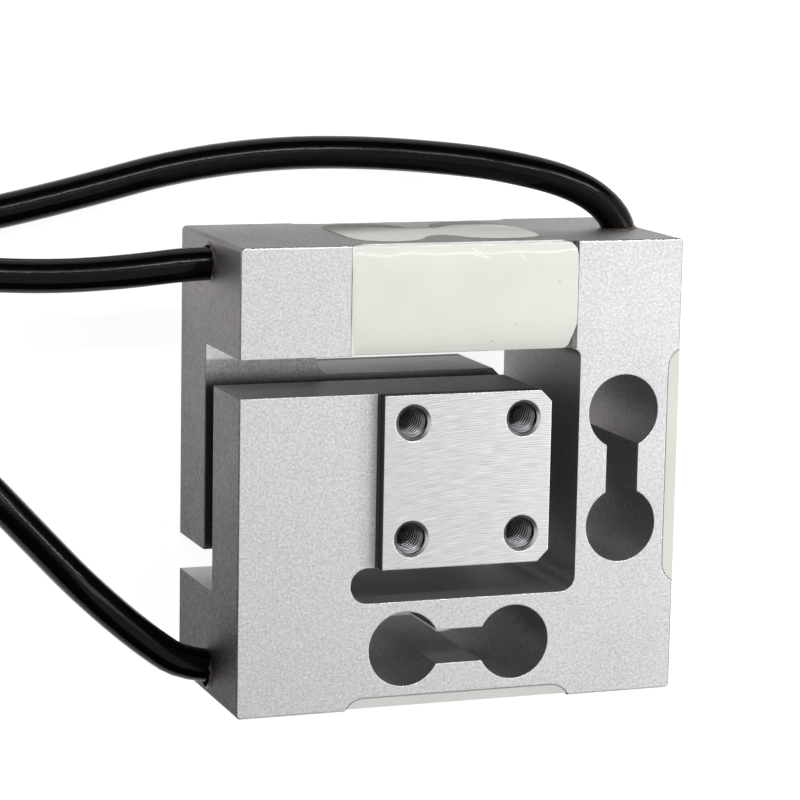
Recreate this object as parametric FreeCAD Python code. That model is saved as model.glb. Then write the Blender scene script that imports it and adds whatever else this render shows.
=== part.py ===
import FreeCAD, Part
import math
import os

V = FreeCAD.Vector

# Three-axis force sensor: one machined block with three binocular measuring beams, two tapped pads,
# potted strain gauges and three signal cables. Millimetres. X runs along the plates towards the right
# column, Y towards the top beam, Z is the load axis through both pads. The rear pad stands on Z = 0.

# Spring body
side = 60.0  # width and height of the square block
frame_t = 26.5  # thickness of the frame between the planes that the pads rise from
pad_rise = 1.75  # each pad stands this far out of its plate
beam_w = 14.0  # width of the top beam, the bottom beam and the right column
slot_w = 4.65  # slot along the right column, and the closed slot beside each plate
gap_w = 4.9  # open gap along each plate's free side
plate_gap = 4.0  # clear space between the front plate and the rear plate
bridge_w = 15.0  # width of the bridge that joins each plate to its corner block
corner_cut = 1.5  # chamfer on the free corners of plates and pads
lower_corner_r = 2.0  # inner corner of the window below the plates
upper_corner_r = 1.2  # inner corner of the window above the plates
outline_r = 0.6  # rounding of the block's four long edges
edge_break = 0.15  # chamfer along the front and rear outlines

# Tapped pads
bolt_pitch = 15.0
thread_d = 4.0  # M4, at the thread's outer diameter
mouth_d = 4.8  # countersunk mouth of each tapped hole

# Binocular cut-outs and gauge recesses
lobe_pitch = 15.0  # between the two lobes of every cut-out
web = 1.35  # thin wall that carries the gauges
neck_w = 4.5  # neck between the lobes of the right and bottom cut-outs
top_lobe_w = 11.0  # width of each long lobe in the top beam
top_neck_w = 8.0
recess_l = 30.8  # length of a recess at its mouth
recess_d = 1.5
recess_r = 2.8  # both ends of a recess rise from its floor in this radius

# Potting
column_sink = 0.0  # how far each fill stays below the face
bottom_sink = 0.3
top_sink = 0.1
front_proud = 0.25  # the front and rear fills stand this far out of the face
fill_gap = 0.3  # open gap beside the front and rear fills, on the column side
fill_edge_r = 0.6  # rounded edge of the front and rear fills

# Gauges, terminal boards and inner wires
gauge_l = 4.0
gauge_w = 3.0
gauge_t = 0.12
gauge_offset = 5.0  # paired gauges lie this far to each side of the middle plane
board_l = 5.0
board_w = 13.0
board_t = 0.8
top_board_w = 9.0
ribbon_w = 0.4  # flat wires between gauges and boards
ribbon_t = 0.1
ribbon_pitch = 1.6
core_d = 0.5  # one core of a cable inside the body
core_pitch = 0.6
core_l = 1.5  # straight stretch of a core beside each of its bends
wire_hole_d = 2.0  # cross hole between the two recesses of the top beam

# Cables, coils and leads
cable_d = 4.4
cable_clear = 0.3  # between the cable and its hole
cable_inset = 3.3  # axis of each cable hole below the outer face
jacket_in = 9.0  # the jacket reaches this far into the hole
hole_break = 1.0  # a cable hole ends this far past the start of its recess's flat floor
seal_l = 7.0
seal_sink = 0.8  # the seal stays this far inside the mouth
coil_x = -101.0  # axis of the three stacked coils
coil_y = -10.0
coil_r = 35.5  # outermost turn, at the middle of the cable
coil_turns_w = 18.4  # from the outermost to the innermost turn
coil_levels = 2
tail_fall = 5.5  # a tail sinks this far, or to the floor
tail_steps = (  # outwards from the outermost turn, degrees on round the coil, share of the fall
    (-1.5, 0.0, 0.0),
    (4.8, 13.0, 0.12),
    (6.8, 26.0, 0.6),
    (7.5, 38.0, 1.0),
)
tie_t = 0.8
tie_w = 3.5
lead_d = 1.3
tip_d = 0.7
tip_l = 6.0
lead_spread = 0.8  # leads leave the jacket this far off its middle
lead_run = 6.0  # stretch in which the leads part
lead_fan = 1.8  # between neighbouring leads where they reach the floor
lead_out = 10.5  # the leads end this far outside the coil's outermost turn
lead_down = 58.0  # degrees round the coil, from a tail's start, to where its leads reach the floor
lead_end = 68.0  # and to where their insulation ends
lead_part = 0.75  # share of the fan that is reached after the parting stretch
lead_open = 1.4  # and at the end of the insulation

tiny = 1e-6  # limit below which two places count as one

# Places that follow from the sizes above
half = side / 2
z_rear = pad_rise
z_front = pad_rise + frame_t
z_mid = pad_rise + frame_t / 2
height = frame_t + 2 * pad_rise
window = half - beam_w
plate_right = window - slot_w
plate_low = slot_w - window
plate_high = window - gap_w
plate_t = (frame_t - plate_gap) / 2
bridge_x = bridge_w - half
lobe_d = beam_w - recess_d - 2 * web
lobe_axis = window + web + lobe_d / 2
top_lobe_l = frame_t - 2 * recess_d - 2 * web
recess_floor = half - recess_d
recess_lift = recess_r - recess_d  # centre of an end's rounding above the mouth
recess_flat = recess_l / 2 - math.sqrt(recess_r**2 - recess_lift**2)  # half the flat floor's length
front_floor = z_front - recess_d
hole_d = cable_d + 2 * cable_clear
hole_axis = half - cable_inset
hole_end = recess_flat - hole_break
coil_h = coil_levels * cable_d
coil_inner = coil_r - coil_turns_w - cable_d / 2
coil_outer = coil_r + cable_d / 2


def line(a, b):
    return Part.LineSegment(a, b).toShape()


def arc(a, through, b):
    return Part.Arc(a, through, b).toShape()


def corner_arc(centre, radius, start, end):
    """Arc in the XY plane about centre, between two angles in degrees."""
    at = [math.radians(start + (end - start) * share) for share in (0, 0.5, 1)]
    places = [centre + V(math.cos(t), math.sin(t), 0) * radius for t in at]
    return arc(*places)


def ends_of(piece):
    """First and last place of an arc, or a point twice."""
    if isinstance(piece, V):
        return piece, piece
    return piece.valueAt(piece.FirstParameter), piece.valueAt(piece.LastParameter)


def chain(pieces):
    """Closed wire through arcs and points in order, with straight edges between them."""
    edges = []
    ends = [ends_of(piece) for piece in pieces]
    for k, piece in enumerate(pieces):
        if not isinstance(piece, V):
            edges.append(piece)
        here = ends[k][1]
        there = ends[(k + 1) % len(pieces)][0]
        if (there - here).Length > tiny:
            edges.append(line(here, there))
    return Part.Wire(edges)


def prism(pieces, z0, z1):
    """Outline in the XY plane, raised from z0 to z1."""
    solid = Part.Face(chain(pieces)).extrude(V(0, 0, z1 - z0))
    solid.translate(V(0, 0, z0))
    return solid


def block(x0, x1, y0, y1, z0, z1):
    return Part.makeBox(x1 - x0, y1 - y0, z1 - z0, V(x0, y0, z0))


def turned(shape, axis, degrees):
    """A copy, turned about an axis through the middle of the body."""
    copy = shape.copy()
    copy.rotate(V(0, 0, z_mid), axis, degrees)
    return copy


def to_column(shape):
    """A feature modelled on the bottom beam, moved to the right column."""
    return turned(shape, V(0, 0, 1), 90)


def flipped(shape):
    """A half turn about the X axis, which carries the front plate to the rear."""
    return turned(shape, V(1, 0, 0), 180)


def to_rear(shape):
    """A feature of the front face, mirrored to the rear face."""
    return shape.mirror(V(0, 0, z_mid), V(0, 0, 1))


def moved(shape, x, y, z):
    copy = shape.copy()
    copy.translate(V(x, y, z))
    return copy


# Spring body

def window_cut():
    return prism(
        [
            V(-half - 1, -window, 0),
            corner_arc(V(window - lower_corner_r, lower_corner_r - window, 0), lower_corner_r, -90, 0),
            corner_arc(V(window - upper_corner_r, window - upper_corner_r, 0), upper_corner_r, 0, 90),
            V(-half - 1, window, 0),
        ],
        z_rear - 1,
        z_front + 1,
    )


def front_plate():
    """Plate with its bridge to the lower corner block, its raised pad and its tapped holes."""
    end_r = slot_w / 2
    free_side = [
        V(plate_right - corner_cut, plate_low, 0),
        V(plate_right, plate_low + corner_cut, 0),
        V(plate_right, plate_high - corner_cut, 0),
        V(plate_right - corner_cut, plate_high, 0),
    ]
    slot_end = corner_arc(V(bridge_x + end_r, plate_low - end_r, 0), end_r, 270, 90)
    bridge = [V(-half, -window, 0), slot_end]
    plate = prism(bridge + free_side + [V(-half, plate_high, 0)], z_front - plate_t, z_front)
    pad_side = [V(-plate_right, plate_low, 0), *free_side, V(-plate_right, plate_high, 0)]
    pad = prism(pad_side, z_front, height)
    solid = plate.fuse(pad).removeSplitter()
    mouth = (mouth_d - thread_d) / 2
    for x in (-bolt_pitch / 2, bolt_pitch / 2):
        for y in (-bolt_pitch / 2, bolt_pitch / 2):
            bore = Part.makeCylinder(thread_d / 2, plate_t + pad_rise, V(x, y, z_front - plate_t))
            cone = Part.makeCone(thread_d / 2, mouth_d / 2, mouth, V(x, y, height - mouth))
            solid = solid.cut(bore.fuse(cone))
    return solid


def bottom_cutout():
    """Two round lobes and their neck, right through the bottom beam."""
    x = lobe_pitch / 2
    lobes = [Part.makeCylinder(lobe_d / 2, frame_t, V(at, -lobe_axis, z_rear)) for at in (-x, x)]
    neck = block(-x, x, -lobe_axis - neck_w / 2, neck_w / 2 - lobe_axis, z_rear, z_front)
    return neck.multiFuse(lobes).removeSplitter()


def top_cutout(low, high):
    """Two long lobes and their neck, from the window up through the top beam."""
    end_r = top_lobe_w / 2
    straight = top_lobe_l / 2 - end_r
    lobes = []
    for x in (-lobe_pitch / 2, lobe_pitch / 2):
        outline = [
            corner_arc(V(x, straight, 0), end_r, 0, 180),
            corner_arc(V(x, -straight, 0), end_r, 180, 360),
        ]
        lobes.append(prism(outline, 0, high - low))
    neck = block(-lobe_pitch / 2, lobe_pitch / 2, -top_neck_w / 2, top_neck_w / 2, 0, high - low)
    cut = neck.multiFuse(lobes).removeSplitter()
    cut.rotate(V(0, 0, 0), V(1, 0, 0), -90)
    return moved(cut, 0, low, z_mid)


def recess_ends(level):
    """Both rounded ends of a recess, seen from its side, up to a level; its mouth lies at level 0."""
    turn = math.degrees(math.acos((recess_lift - level) / recess_r))
    return [
        corner_arc(V(-recess_flat, recess_lift, 0), recess_r, 270 - turn, 270),
        corner_arc(V(recess_flat, recess_lift, 0), recess_r, 270, 270 + turn),
    ]


def on_bottom(outline):
    """An outline of a recess, over the full thickness of the bottom face."""
    shape = prism(outline, z_rear, z_front)
    shape.rotate(V(0, 0, 0), V(0, 0, 1), 180)
    return moved(shape, 0, -half, 0)


def on_front(outline):
    """An outline of a recess, over the full width of the top beam on its front face."""
    shape = prism(outline, 0, beam_w)
    shape.rotate(V(0, 0, 0), V(1, 0, 0), 90)
    return moved(shape, 0, half, z_front)


def side_hole(y, x_end):
    """Cable hole from the left face."""
    return Part.makeCylinder(hole_d / 2, half + x_end, V(-half, y, z_mid), V(1, 0, 0))


def cable_holes():
    upper = side_hole(hole_axis, -lobe_pitch / 2)
    lower = side_hole(-hole_axis, -hole_end)
    return [upper, lower, flipped(to_column(lower))]


def wire_hole():
    """Cross hole through the neck of the top beam, from recess to recess."""
    return Part.makeCylinder(wire_hole_d / 2, frame_t, V(0, hole_axis, z_rear))


def on_outline(edge):
    """Whether an edge lies on the front or rear outline of the block, which is broken all round."""
    middle = edge.CenterOfMass
    levels = [v.Point.z for v in edge.Vertexes] + [middle.z]
    on_face = any(all(abs(level - z) < tiny for level in levels) for z in (z_rear, z_front))
    return on_face and max(abs(middle.x), abs(middle.y)) > recess_floor - tiny


def spring_body():
    frame = block(-half, half, -half, half, z_rear, z_front)
    long_edges = [e for e in frame.Edges if abs(e.tangentAt(0).z) > 0.9]
    frame = frame.makeFillet(outline_r, long_edges)
    frame = frame.cut(window_cut())
    cuts = [
        bottom_cutout(),
        to_column(bottom_cutout()),
        top_cutout(window, half),
        on_bottom(recess_ends(0)),
        to_column(on_bottom(recess_ends(0))),
        on_front(recess_ends(0)),
        to_rear(on_front(recess_ends(0))),
        wire_hole(),
        *cable_holes(),
    ]
    frame = frame.cut(cuts)
    plate = front_plate()
    body = frame.multiFuse([plate, flipped(plate)]).removeSplitter()
    return body.makeChamfer(edge_break, [e for e in body.Edges if on_outline(e)])


# Gauges, boards and wires, laid on the recess floors

def bottom_gauges():
    """Four gauges on the floor of the bottom recess, two under each lobe."""
    gauges = {}
    for end, x in (("left", -lobe_pitch / 2), ("right", lobe_pitch / 2)):
        for row, z in (("front", z_mid + gauge_offset), ("rear", z_mid - gauge_offset)):
            gauges[f"{end}_{row}"] = block(
                x - gauge_l / 2,
                x + gauge_l / 2,
                -recess_floor - gauge_t,
                -recess_floor,
                z - gauge_w / 2,
                z + gauge_w / 2,
            )
    return gauges


def front_gauges():
    """Two gauges on the floor of the front recess, one over each long lobe."""
    y = half - beam_w / 2
    gauges = {}
    for end, x in (("left", -lobe_pitch / 2), ("right", lobe_pitch / 2)):
        gauges[end] = block(
            x - gauge_l / 2,
            x + gauge_l / 2,
            y - gauge_w / 2,
            y + gauge_w / 2,
            front_floor,
            front_floor + gauge_t,
        )
    return gauges


def bottom_board():
    return block(
        -board_l / 2,
        board_l / 2,
        -recess_floor - board_t,
        -recess_floor,
        z_mid - board_w / 2,
        z_mid + board_w / 2,
    )


def front_board():
    y = hole_axis + wire_hole_d - top_board_w
    return block(-board_l / 2, board_l / 2, y, y + top_board_w, front_floor, front_floor + board_t)


def ribbon_spans():
    """From each gauge to the board, along the beam."""
    gauge_end = lobe_pitch / 2 - gauge_l / 2
    return ((-gauge_end, -board_l / 2), (board_l / 2, gauge_end))


def bottom_bridge_wires():
    wires = []
    for x0, x1 in ribbon_spans():
        for row in (-gauge_offset, gauge_offset):
            for step in (-ribbon_pitch / 2, ribbon_pitch / 2):
                z = z_mid + row + step
                low = -recess_floor - ribbon_t
                wires.append(block(x0, x1, low, -recess_floor, z - ribbon_w / 2, z + ribbon_w / 2))
    return Part.makeCompound(wires)


def front_bridge_wires():
    wires = []
    for x0, x1 in ribbon_spans():
        for step in (-ribbon_pitch / 2, ribbon_pitch / 2):
            y = half - beam_w / 2 + step
            high = front_floor + ribbon_t
            wires.append(block(x0, x1, y - ribbon_w / 2, y + ribbon_w / 2, front_floor, high))
    return Part.makeCompound(wires)


def bottom_cores():
    """Four cable cores from the end of the jacket, through the break into the recess, to the board."""
    lie = -recess_floor - board_t / 2
    cores = []
    for k in (-1.5, -0.5, 0.5, 1.5):
        z = z_mid + k * core_pitch
        start = V(jacket_in - half, -hole_axis, z)
        straight = start + V(2 * core_l, 0, 0)
        landing = V(-hole_end - core_l, lie, z)
        cores.append(tube([start, straight, landing, V(-board_l / 2, lie, z)], core_d))
    return Part.makeCompound(cores)


def top_cores():
    """Two cores to the front board and two to the rear board, through the cross hole."""
    cores = []
    for k, way in ((-1.5, -1), (-0.5, 1), (0.5, -1), (1.5, 1)):
        z = z_mid + way * core_pitch / 2
        y = hole_axis + k * core_pitch / 2
        floor = z_mid + way * (frame_t / 2 - recess_d)
        turn = V(k * core_pitch / 3, y, z)
        cores.append(tube([V(jacket_in - half, y, z), turn, V(turn.x, y, floor)], core_d))
    return Part.makeCompound(cores)


# Potting

def rounded_bar():
    """Long bar over the front recess, rounded along both of its upper edges."""
    r = fill_edge_r
    top_z = z_front + front_proud
    section = [
        V(window, front_floor - r, 0),
        V(half, front_floor - r, 0),
        corner_arc(V(half - r, top_z - r, 0), r, 0, 90),
        corner_arc(V(window + r, top_z - r, 0), r, 90, 180),
    ]
    bar = prism(section, -half, half)
    bar.rotate(V(0, 0, 0), V(1, 1, 1), 120)
    return bar


def front_fill():
    """Fill of the front recess: proud, rounded at its free edges, with a gap on the column side."""
    right = recess_l / 2 - fill_gap
    r = fill_edge_r
    low = recess_lift - math.sqrt(recess_r**2 - (right - recess_flat) ** 2)
    outline = [
        recess_ends(0)[0],
        recess_ends(low)[1],
        corner_arc(V(right - r, front_proud - r, 0), r, 0, 90),
        V(-recess_l / 2, front_proud, 0),
    ]
    return on_front(outline).common(rounded_bar())


# Cables

def tube(route, diameter, label=None):
    """Round tube along straight runs joined by tangent arcs, each as large as its two runs allow."""
    edges = []
    radii = []
    start = route[0]
    for a, b, c in zip(route, route[1:], route[2:]):
        into = (b - a).normalize()
        out = (c - b).normalize()
        cut = 0.45 * min((b - a).Length, (c - b).Length)
        turn = into.getAngle(out)
        radius = cut / math.tan(turn / 2)
        towards = (out - into).normalize()
        middle = b + towards * (radius / math.cos(turn / 2) - radius)
        edges.append(line(start, b - into * cut))
        edges.append(arc(b - into * cut, middle, b + out * cut))
        start = b + out * cut
        radii.append(radius)
    edges.append(line(start, route[-1]))
    path = Part.Wire(edges)
    section = Part.Wire(Part.Circle(route[0], route[1] - route[0], diameter / 2).toShape())
    solid = path.makePipeShell([section], True, False)
    if label:
        share = solid.Volume / (path.Length * math.pi * diameter**2 / 4)
        bends = [round(r, 1) for r in radii]
        print(label, "length", round(path.Length, 1), "radii", bends, "volume share", round(share, 4))
    return solid


def coil_base(level):
    """Height of the lowest face of one of the stacked coils."""
    return tie_t + level * coil_h


def coil_point(radius, degrees, z):
    t = math.radians(degrees)
    return V(coil_x + radius * math.cos(t), coil_y + radius * math.sin(t), z)


def coil(level):
    """One coil as the ring that its turns fill."""
    base = V(coil_x, coil_y, coil_base(level))
    return Part.makeCylinder(coil_outer, coil_h, base).cut(Part.makeCylinder(coil_inner, coil_h, base))


def tail_route(level, degrees):
    """Last stretch of a cable, out of its coil and round it, sinking towards the floor."""
    z = coil_base(level) + coil_h - cable_d / 2
    fall = min(tail_fall, z - cable_d / 2)
    return [coil_point(coil_r + out, degrees + on, z - fall * share) for out, on, share in tail_steps]


def leads(route, degrees):
    """Four insulated leads that fan out of the end of a jacket, and their stripped tips."""
    end = route[-1]
    ahead = (end - route[-2]).normalize()
    aside = ahead.cross(V(0, 0, 1)).normalize()
    above = aside.cross(ahead)
    floor = lead_d / 2
    wires = []
    tips = []
    for k, (side_step, rise) in enumerate(((-1, 1), (-1, -1), (1, 1), (1, -1))):
        fan = (k - 1.5) * lead_fan
        first = end + aside * (side_step * lead_spread) + above * (rise * lead_spread)
        second = first + ahead * (lead_run / 2)
        third = second + ahead * lead_run + aside * (lead_part * fan - side_step * lead_spread)
        third.z = max(third.z, floor + (rise + 1) * lead_spread)
        fourth = coil_point(coil_r + lead_out + fan, degrees + lead_down, floor)
        last = coil_point(coil_r + lead_out + lead_open * fan, degrees + lead_end, floor)
        wires.append(tube([first, second, third, fourth, last], lead_d))
        tips.append(Part.makeCylinder(tip_d / 2, tip_l, last, last - fourth))
    return wires, Part.makeCompound(tips)


def tie(degrees, stack):
    """Flat strap round the section of all three coils."""
    high = coil_base(len(coil_of)) + tie_t
    inner = coil_inner - tie_t
    loop = block(inner - tie_t, coil_outer + tie_t, -tie_w / 2, tie_w / 2, 0, high)
    loop = loop.makeFillet(tie_t, [e for e in loop.Edges if abs(e.tangentAt(0).y) > 0.9])
    hollow = block(inner, coil_outer, -tie_w, tie_w, tie_t, high - tie_t)
    strap = loop.cut(hollow)
    strap.rotate(V(0, 0, 0), V(0, 0, 1), degrees)
    return moved(strap, coil_x, coil_y, 0).cut(stack)


def seal(mouth, inward, cable):
    """Adhesive ring between a cable and its hole."""
    return Part.makeCylinder(hole_d / 2, seal_l, mouth + inward * seal_sink, inward).cut(cable)


# Cable routes: each starts inside its hole, and its later points are placed by hand.
cable_mouths = {
    "top": (V(-half, hole_axis, z_mid), V(1, 0, 0)),
    "column": (V(hole_axis, half, z_mid), V(0, -1, 0)),
    "bottom": (V(-half, -hole_axis, z_mid), V(1, 0, 0)),
}
cable_points = {
    "top": [
        (-31.5, 26.7, 15.0),
        (-40.5, 25.7, 14.7),
        (-49.5, 25.2, 13.9),
        (-58.5, 25.5, 13.1),
        (-68.0, 26.3, 12.4),
        (-79.5, 26.2, 12.0),
        (-91.8, 24.3, 11.8),
    ],
    "column": [
        (26.7, 33.6, 15.0),
        (18.7, 36.5, 13.4),
        (8.5, 38.6, 8.6),
        (-4.0, 39.5, 4.0),
        (-17.5, 39.5, 2.4),
        (-31.0, 37.9, 2.2),
        (-43.5, 34.7, 2.2),
        (-56.5, 31.8, 2.3),
        (-69.5, 29.8, 2.6),
        (-82.0, 28.0, 3.0),
        (-94.8, 25.0, 3.3),
    ],
    "bottom": [
        (-32.0, -26.7, 15.0),
        (-39.0, -22.2, 14.6),
        (-46.0, -15.2, 14.6),
        (-53.0, -7.5, 17.2),
        (-60.0, -1.5, 20.4),
        (-68.1, 3.3, 20.9),
    ],
}
coil_of = {"column": 0, "top": 1, "bottom": 2}
tail_angle = {"column": 164.0, "top": 111.0, "bottom": 58.0}
lead_colours = ("red", "black", "green", "white")
tie_angles = (145.0, 325.0)

nodes = {"spring_body": spring_body()}

bottom_gauge_set = bottom_gauges()
front_gauge_set = front_gauges()
for place, gauge in bottom_gauge_set.items():
    nodes[f"gauge_bottom_{place}"] = gauge
    nodes[f"gauge_column_{place.replace('left', 'lower').replace('right', 'upper')}"] = to_column(gauge)
for place, gauge in front_gauge_set.items():
    nodes[f"gauge_front_{place}"] = gauge
    nodes[f"gauge_rear_{place}"] = to_rear(gauge)

nodes["terminal_board_bottom"] = bottom_board()
nodes["terminal_board_column"] = to_column(bottom_board())
nodes["terminal_board_front"] = front_board()
nodes["terminal_board_rear"] = to_rear(front_board())
nodes["bridge_wires_bottom"] = bottom_bridge_wires()
nodes["bridge_wires_column"] = to_column(bottom_bridge_wires())
nodes["bridge_wires_front"] = front_bridge_wires()
nodes["bridge_wires_rear"] = to_rear(front_bridge_wires())
nodes["signal_wires_bottom"] = bottom_cores()
nodes["signal_wires_column"] = flipped(to_column(bottom_cores()))
nodes["signal_wires_top"] = top_cores()


def inside(beam):
    """Pieces that one fill was poured round."""
    named = [f"terminal_board_{beam}", f"bridge_wires_{beam}", f"signal_wires_{beam}"]
    return [s for n, s in nodes.items() if n in named or n.startswith(f"gauge_{beam}_")]


fills = {
    "front": front_fill(),
    "rear": to_rear(front_fill()),
    "top": top_cutout(window, half - top_sink),
    "bottom": on_bottom(recess_ends(-bottom_sink)),
    "column": to_column(on_bottom(recess_ends(-column_sink))),
}
for beam, fill in fills.items():
    nodes[f"potting_{beam}"] = fill.cut(inside(beam))

rings = {name: coil(level) for name, level in coil_of.items()}
for name, (mouth, inward) in cable_mouths.items():
    route = [mouth + inward * jacket_in, *[V(*p) for p in cable_points[name]]]
    cable = tube(route, cable_d, f"cable_{name}").cut(rings[name])
    nodes[f"cable_{name}"] = cable
    nodes[f"cable_seal_{name}"] = seal(mouth, inward, cable)
    nodes[f"cable_coil_{name}"] = rings[name]
    tail = tail_route(coil_of[name], tail_angle[name])
    nodes[f"cable_tail_{name}"] = tube(tail, cable_d, f"cable_tail_{name}").cut(rings[name])
    wires, tips = leads(tail, tail_angle[name])
    for colour, wire in zip(lead_colours, wires):
        nodes[f"lead_{name}_{colour}"] = wire
    nodes[f"lead_tips_{name}"] = tips

for number, degrees in enumerate(tie_angles, 1):
    nodes[f"coil_tie_{number}"] = tie(degrees, list(rings.values()))

os.makedirs("parts", exist_ok=True)
for name, shape in nodes.items():
    shape.exportStep(f"parts/{name}.step")
print(len(nodes), "nodes")
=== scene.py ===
import math

import bmesh
import bpy
from mathutils import Matrix, Vector, noise


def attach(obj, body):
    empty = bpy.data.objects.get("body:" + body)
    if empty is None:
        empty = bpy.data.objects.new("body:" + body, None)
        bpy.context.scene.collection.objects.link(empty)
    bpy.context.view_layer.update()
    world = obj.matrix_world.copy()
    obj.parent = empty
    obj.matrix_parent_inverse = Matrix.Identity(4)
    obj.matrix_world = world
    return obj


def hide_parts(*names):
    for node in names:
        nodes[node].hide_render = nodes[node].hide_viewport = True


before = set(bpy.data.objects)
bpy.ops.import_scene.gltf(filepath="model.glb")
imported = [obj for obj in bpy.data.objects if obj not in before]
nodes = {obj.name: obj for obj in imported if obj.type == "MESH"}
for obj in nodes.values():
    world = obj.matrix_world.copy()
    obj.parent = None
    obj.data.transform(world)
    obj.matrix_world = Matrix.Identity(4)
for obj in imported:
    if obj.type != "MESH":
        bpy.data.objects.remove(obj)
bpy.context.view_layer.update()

scene = bpy.context.scene
MM = 0.001

# Sizes of the sensor that the pieces below are built to, in millimetres
half_side = 30.0
height = 30.0
middle_z = height / 2
face_z = 28.25  # front face of the frame and the plates
window = 16.0  # from the middle to the inner sides of the frame
plate_edge = 11.35  # from the middle to the edges of the plates and the walls of their pads
bolt_pitch = 15.0
mouth_r = 2.4  # countersunk mouths of the tapped holes
thread_root_r = 2.04
thread_crest_r = 1.64
thread_pitch = 0.7
thread_low = 17.0  # from the inner face of the front plate
thread_high = 29.6  # to the foot of the countersunk mouth
rim_r = 0.17  # rims of slots and lobes are rubbed round by deburring
recess_r = 2.8  # both ends of a recess rise from its floor in this radius
recess_lift = 1.3  # centre of that rounding above the mouth
recess_flat = 12.92  # half the length of the flat floor
cable_d = 4.4
hole_r = 2.5
seal_depth = 7.8
coil_centre = (-101.0, -10.0)
coil_r = 35.5
coil_base = {"column": 0.8, "top": 9.6, "bottom": 18.4}

# Camera, at the photograph's viewing angle in its 800 x 800 frame

view_from = Vector((-140.623, 74.201, 389.540)) * MM
view_right = Vector((0.940281, 0.018571, 0.339892))
view_up = Vector((0.038557, 0.986274, -0.160553))
view_back = view_right.cross(view_up)

camera = bpy.data.objects.new("camera", bpy.data.cameras.new("camera"))
camera.data.sensor_width = 36.0
camera.data.lens = 138.563
camera.data.clip_start = 0.01
axes = Matrix((view_right, view_up, view_back)).transposed().to_4x4()
camera.matrix_world = Matrix.Translation(view_from) @ axes
scene.collection.objects.link(camera)
scene.camera = camera
scene.view_settings.view_transform = "Standard"


# Materials

def linear(hex_colour):
    """An sRGB hex value as a linear colour."""
    channels = [int(hex_colour[k:k + 2], 16) / 255 for k in (1, 3, 5)]
    return [c / 12.92 if c <= 0.04045 else ((c + 0.055) / 1.055) ** 2.4 for c in channels] + [1.0]


def per_mm(millimetres):
    """Texture scale whose pattern repeats about once in this many millimetres."""
    return 1.0 / (millimetres * MM)


def add(material, kind, settings=None, links=None):
    """Adds a node; settings go to its properties or sockets, and links join other outputs to its sockets."""
    node = material.node_tree.nodes.new(kind)
    for name, value in (settings or {}).items():
        if isinstance(name, str) and hasattr(node, name):
            setattr(node, name, value)
        else:
            node.inputs[name].default_value = value
    for name, output in (links or {}).items():
        material.node_tree.links.new(output, node.inputs[name])
    return node


def new_material(name, settings):
    """A material with one Principled shader; returns both."""
    material = bpy.data.materials.new(name)
    material.use_nodes = True
    shader = material.node_tree.nodes["Principled BSDF"]
    for socket, value in settings.items():
        shader.inputs[socket].default_value = value
    return material, shader


def link(material, output, shader, socket):
    """Joins an output to a socket of the material's shader."""
    material.node_tree.links.new(output, shader.inputs[socket])


def from_hole_axis(material, where):
    """Distance from the axis of the nearest tapped hole."""
    offset = {}
    for axis in ("X", "Y"):
        far = add(material, "ShaderNodeMath", {"operation": "ABSOLUTE"}, {0: where[axis]}).outputs[0]
        offset[axis] = add(
            material, "ShaderNodeMath", {"operation": "SUBTRACT", 1: bolt_pitch / 2 * MM}, {0: far}
        ).outputs[0]
    offset = add(material, "ShaderNodeCombineXYZ", links=offset).outputs[0]
    return add(material, "ShaderNodeVectorMath", {"operation": "LENGTH"}, {0: offset}).outputs["Value"]


def from_middle(material, where):
    """Distance from the plane halfway between the front and rear pads."""
    off = add(
        material, "ShaderNodeMath", {"operation": "SUBTRACT", 1: middle_z * MM}, {0: where["Z"]}
    ).outputs[0]
    return add(material, "ShaderNodeMath", {"operation": "ABSOLUTE"}, {0: off}).outputs[0]


# Where one finish of the body, or one painted light or shade on it, gives way to another, in millimetres
outer_from = face_z - middle_z - 0.1  # from the middle plane: front and rear faces, and all beyond them
pad_wall_from = face_z - middle_z + 0.02  # walls of the raised pads
pad_from = middle_z - 0.01  # faces of the pads
hole_within = thread_root_r - 0.01
mouth_within = mouth_r + 0.2
crest_within = thread_crest_r + 0.02
column_from = window - 1.0  # what lies beside the column or in it
beam_below = plate_edge - 1.0  # what lies lower than the upper edge of the plates
sides_within = half_side - 0.2  # what lies inside the block's outer sides
end_from = half_side - rim_r  # thin line of painted shade along the block's two ends
foot_w = 0.4  # painted shadow line along the foot of each pad
bridge_light_fade = (2.0, -22.0)  # along X, painted light makes the sides of the front plate paler towards its bridge
strip_shade_fade = (plate_edge - 1.1, plate_edge + 1.0)  # between the plates painted shade starts to give way to painted light from here on
strip_light_fade = (plate_edge + 2.3, plate_edge + 2.7)  # and from here on the painted light is full

# How far a face looks along Z: a level one, and an edge broken at 45 degrees
level_share = 0.95
broken_share, broken_slack = 0.7071, 0.08
# Rims show where rounding turns the face this far, and the countersink leaves mouths less bare
rim_turn = (0.90, 0.985)
mouth_bareness = 0.62


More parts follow.
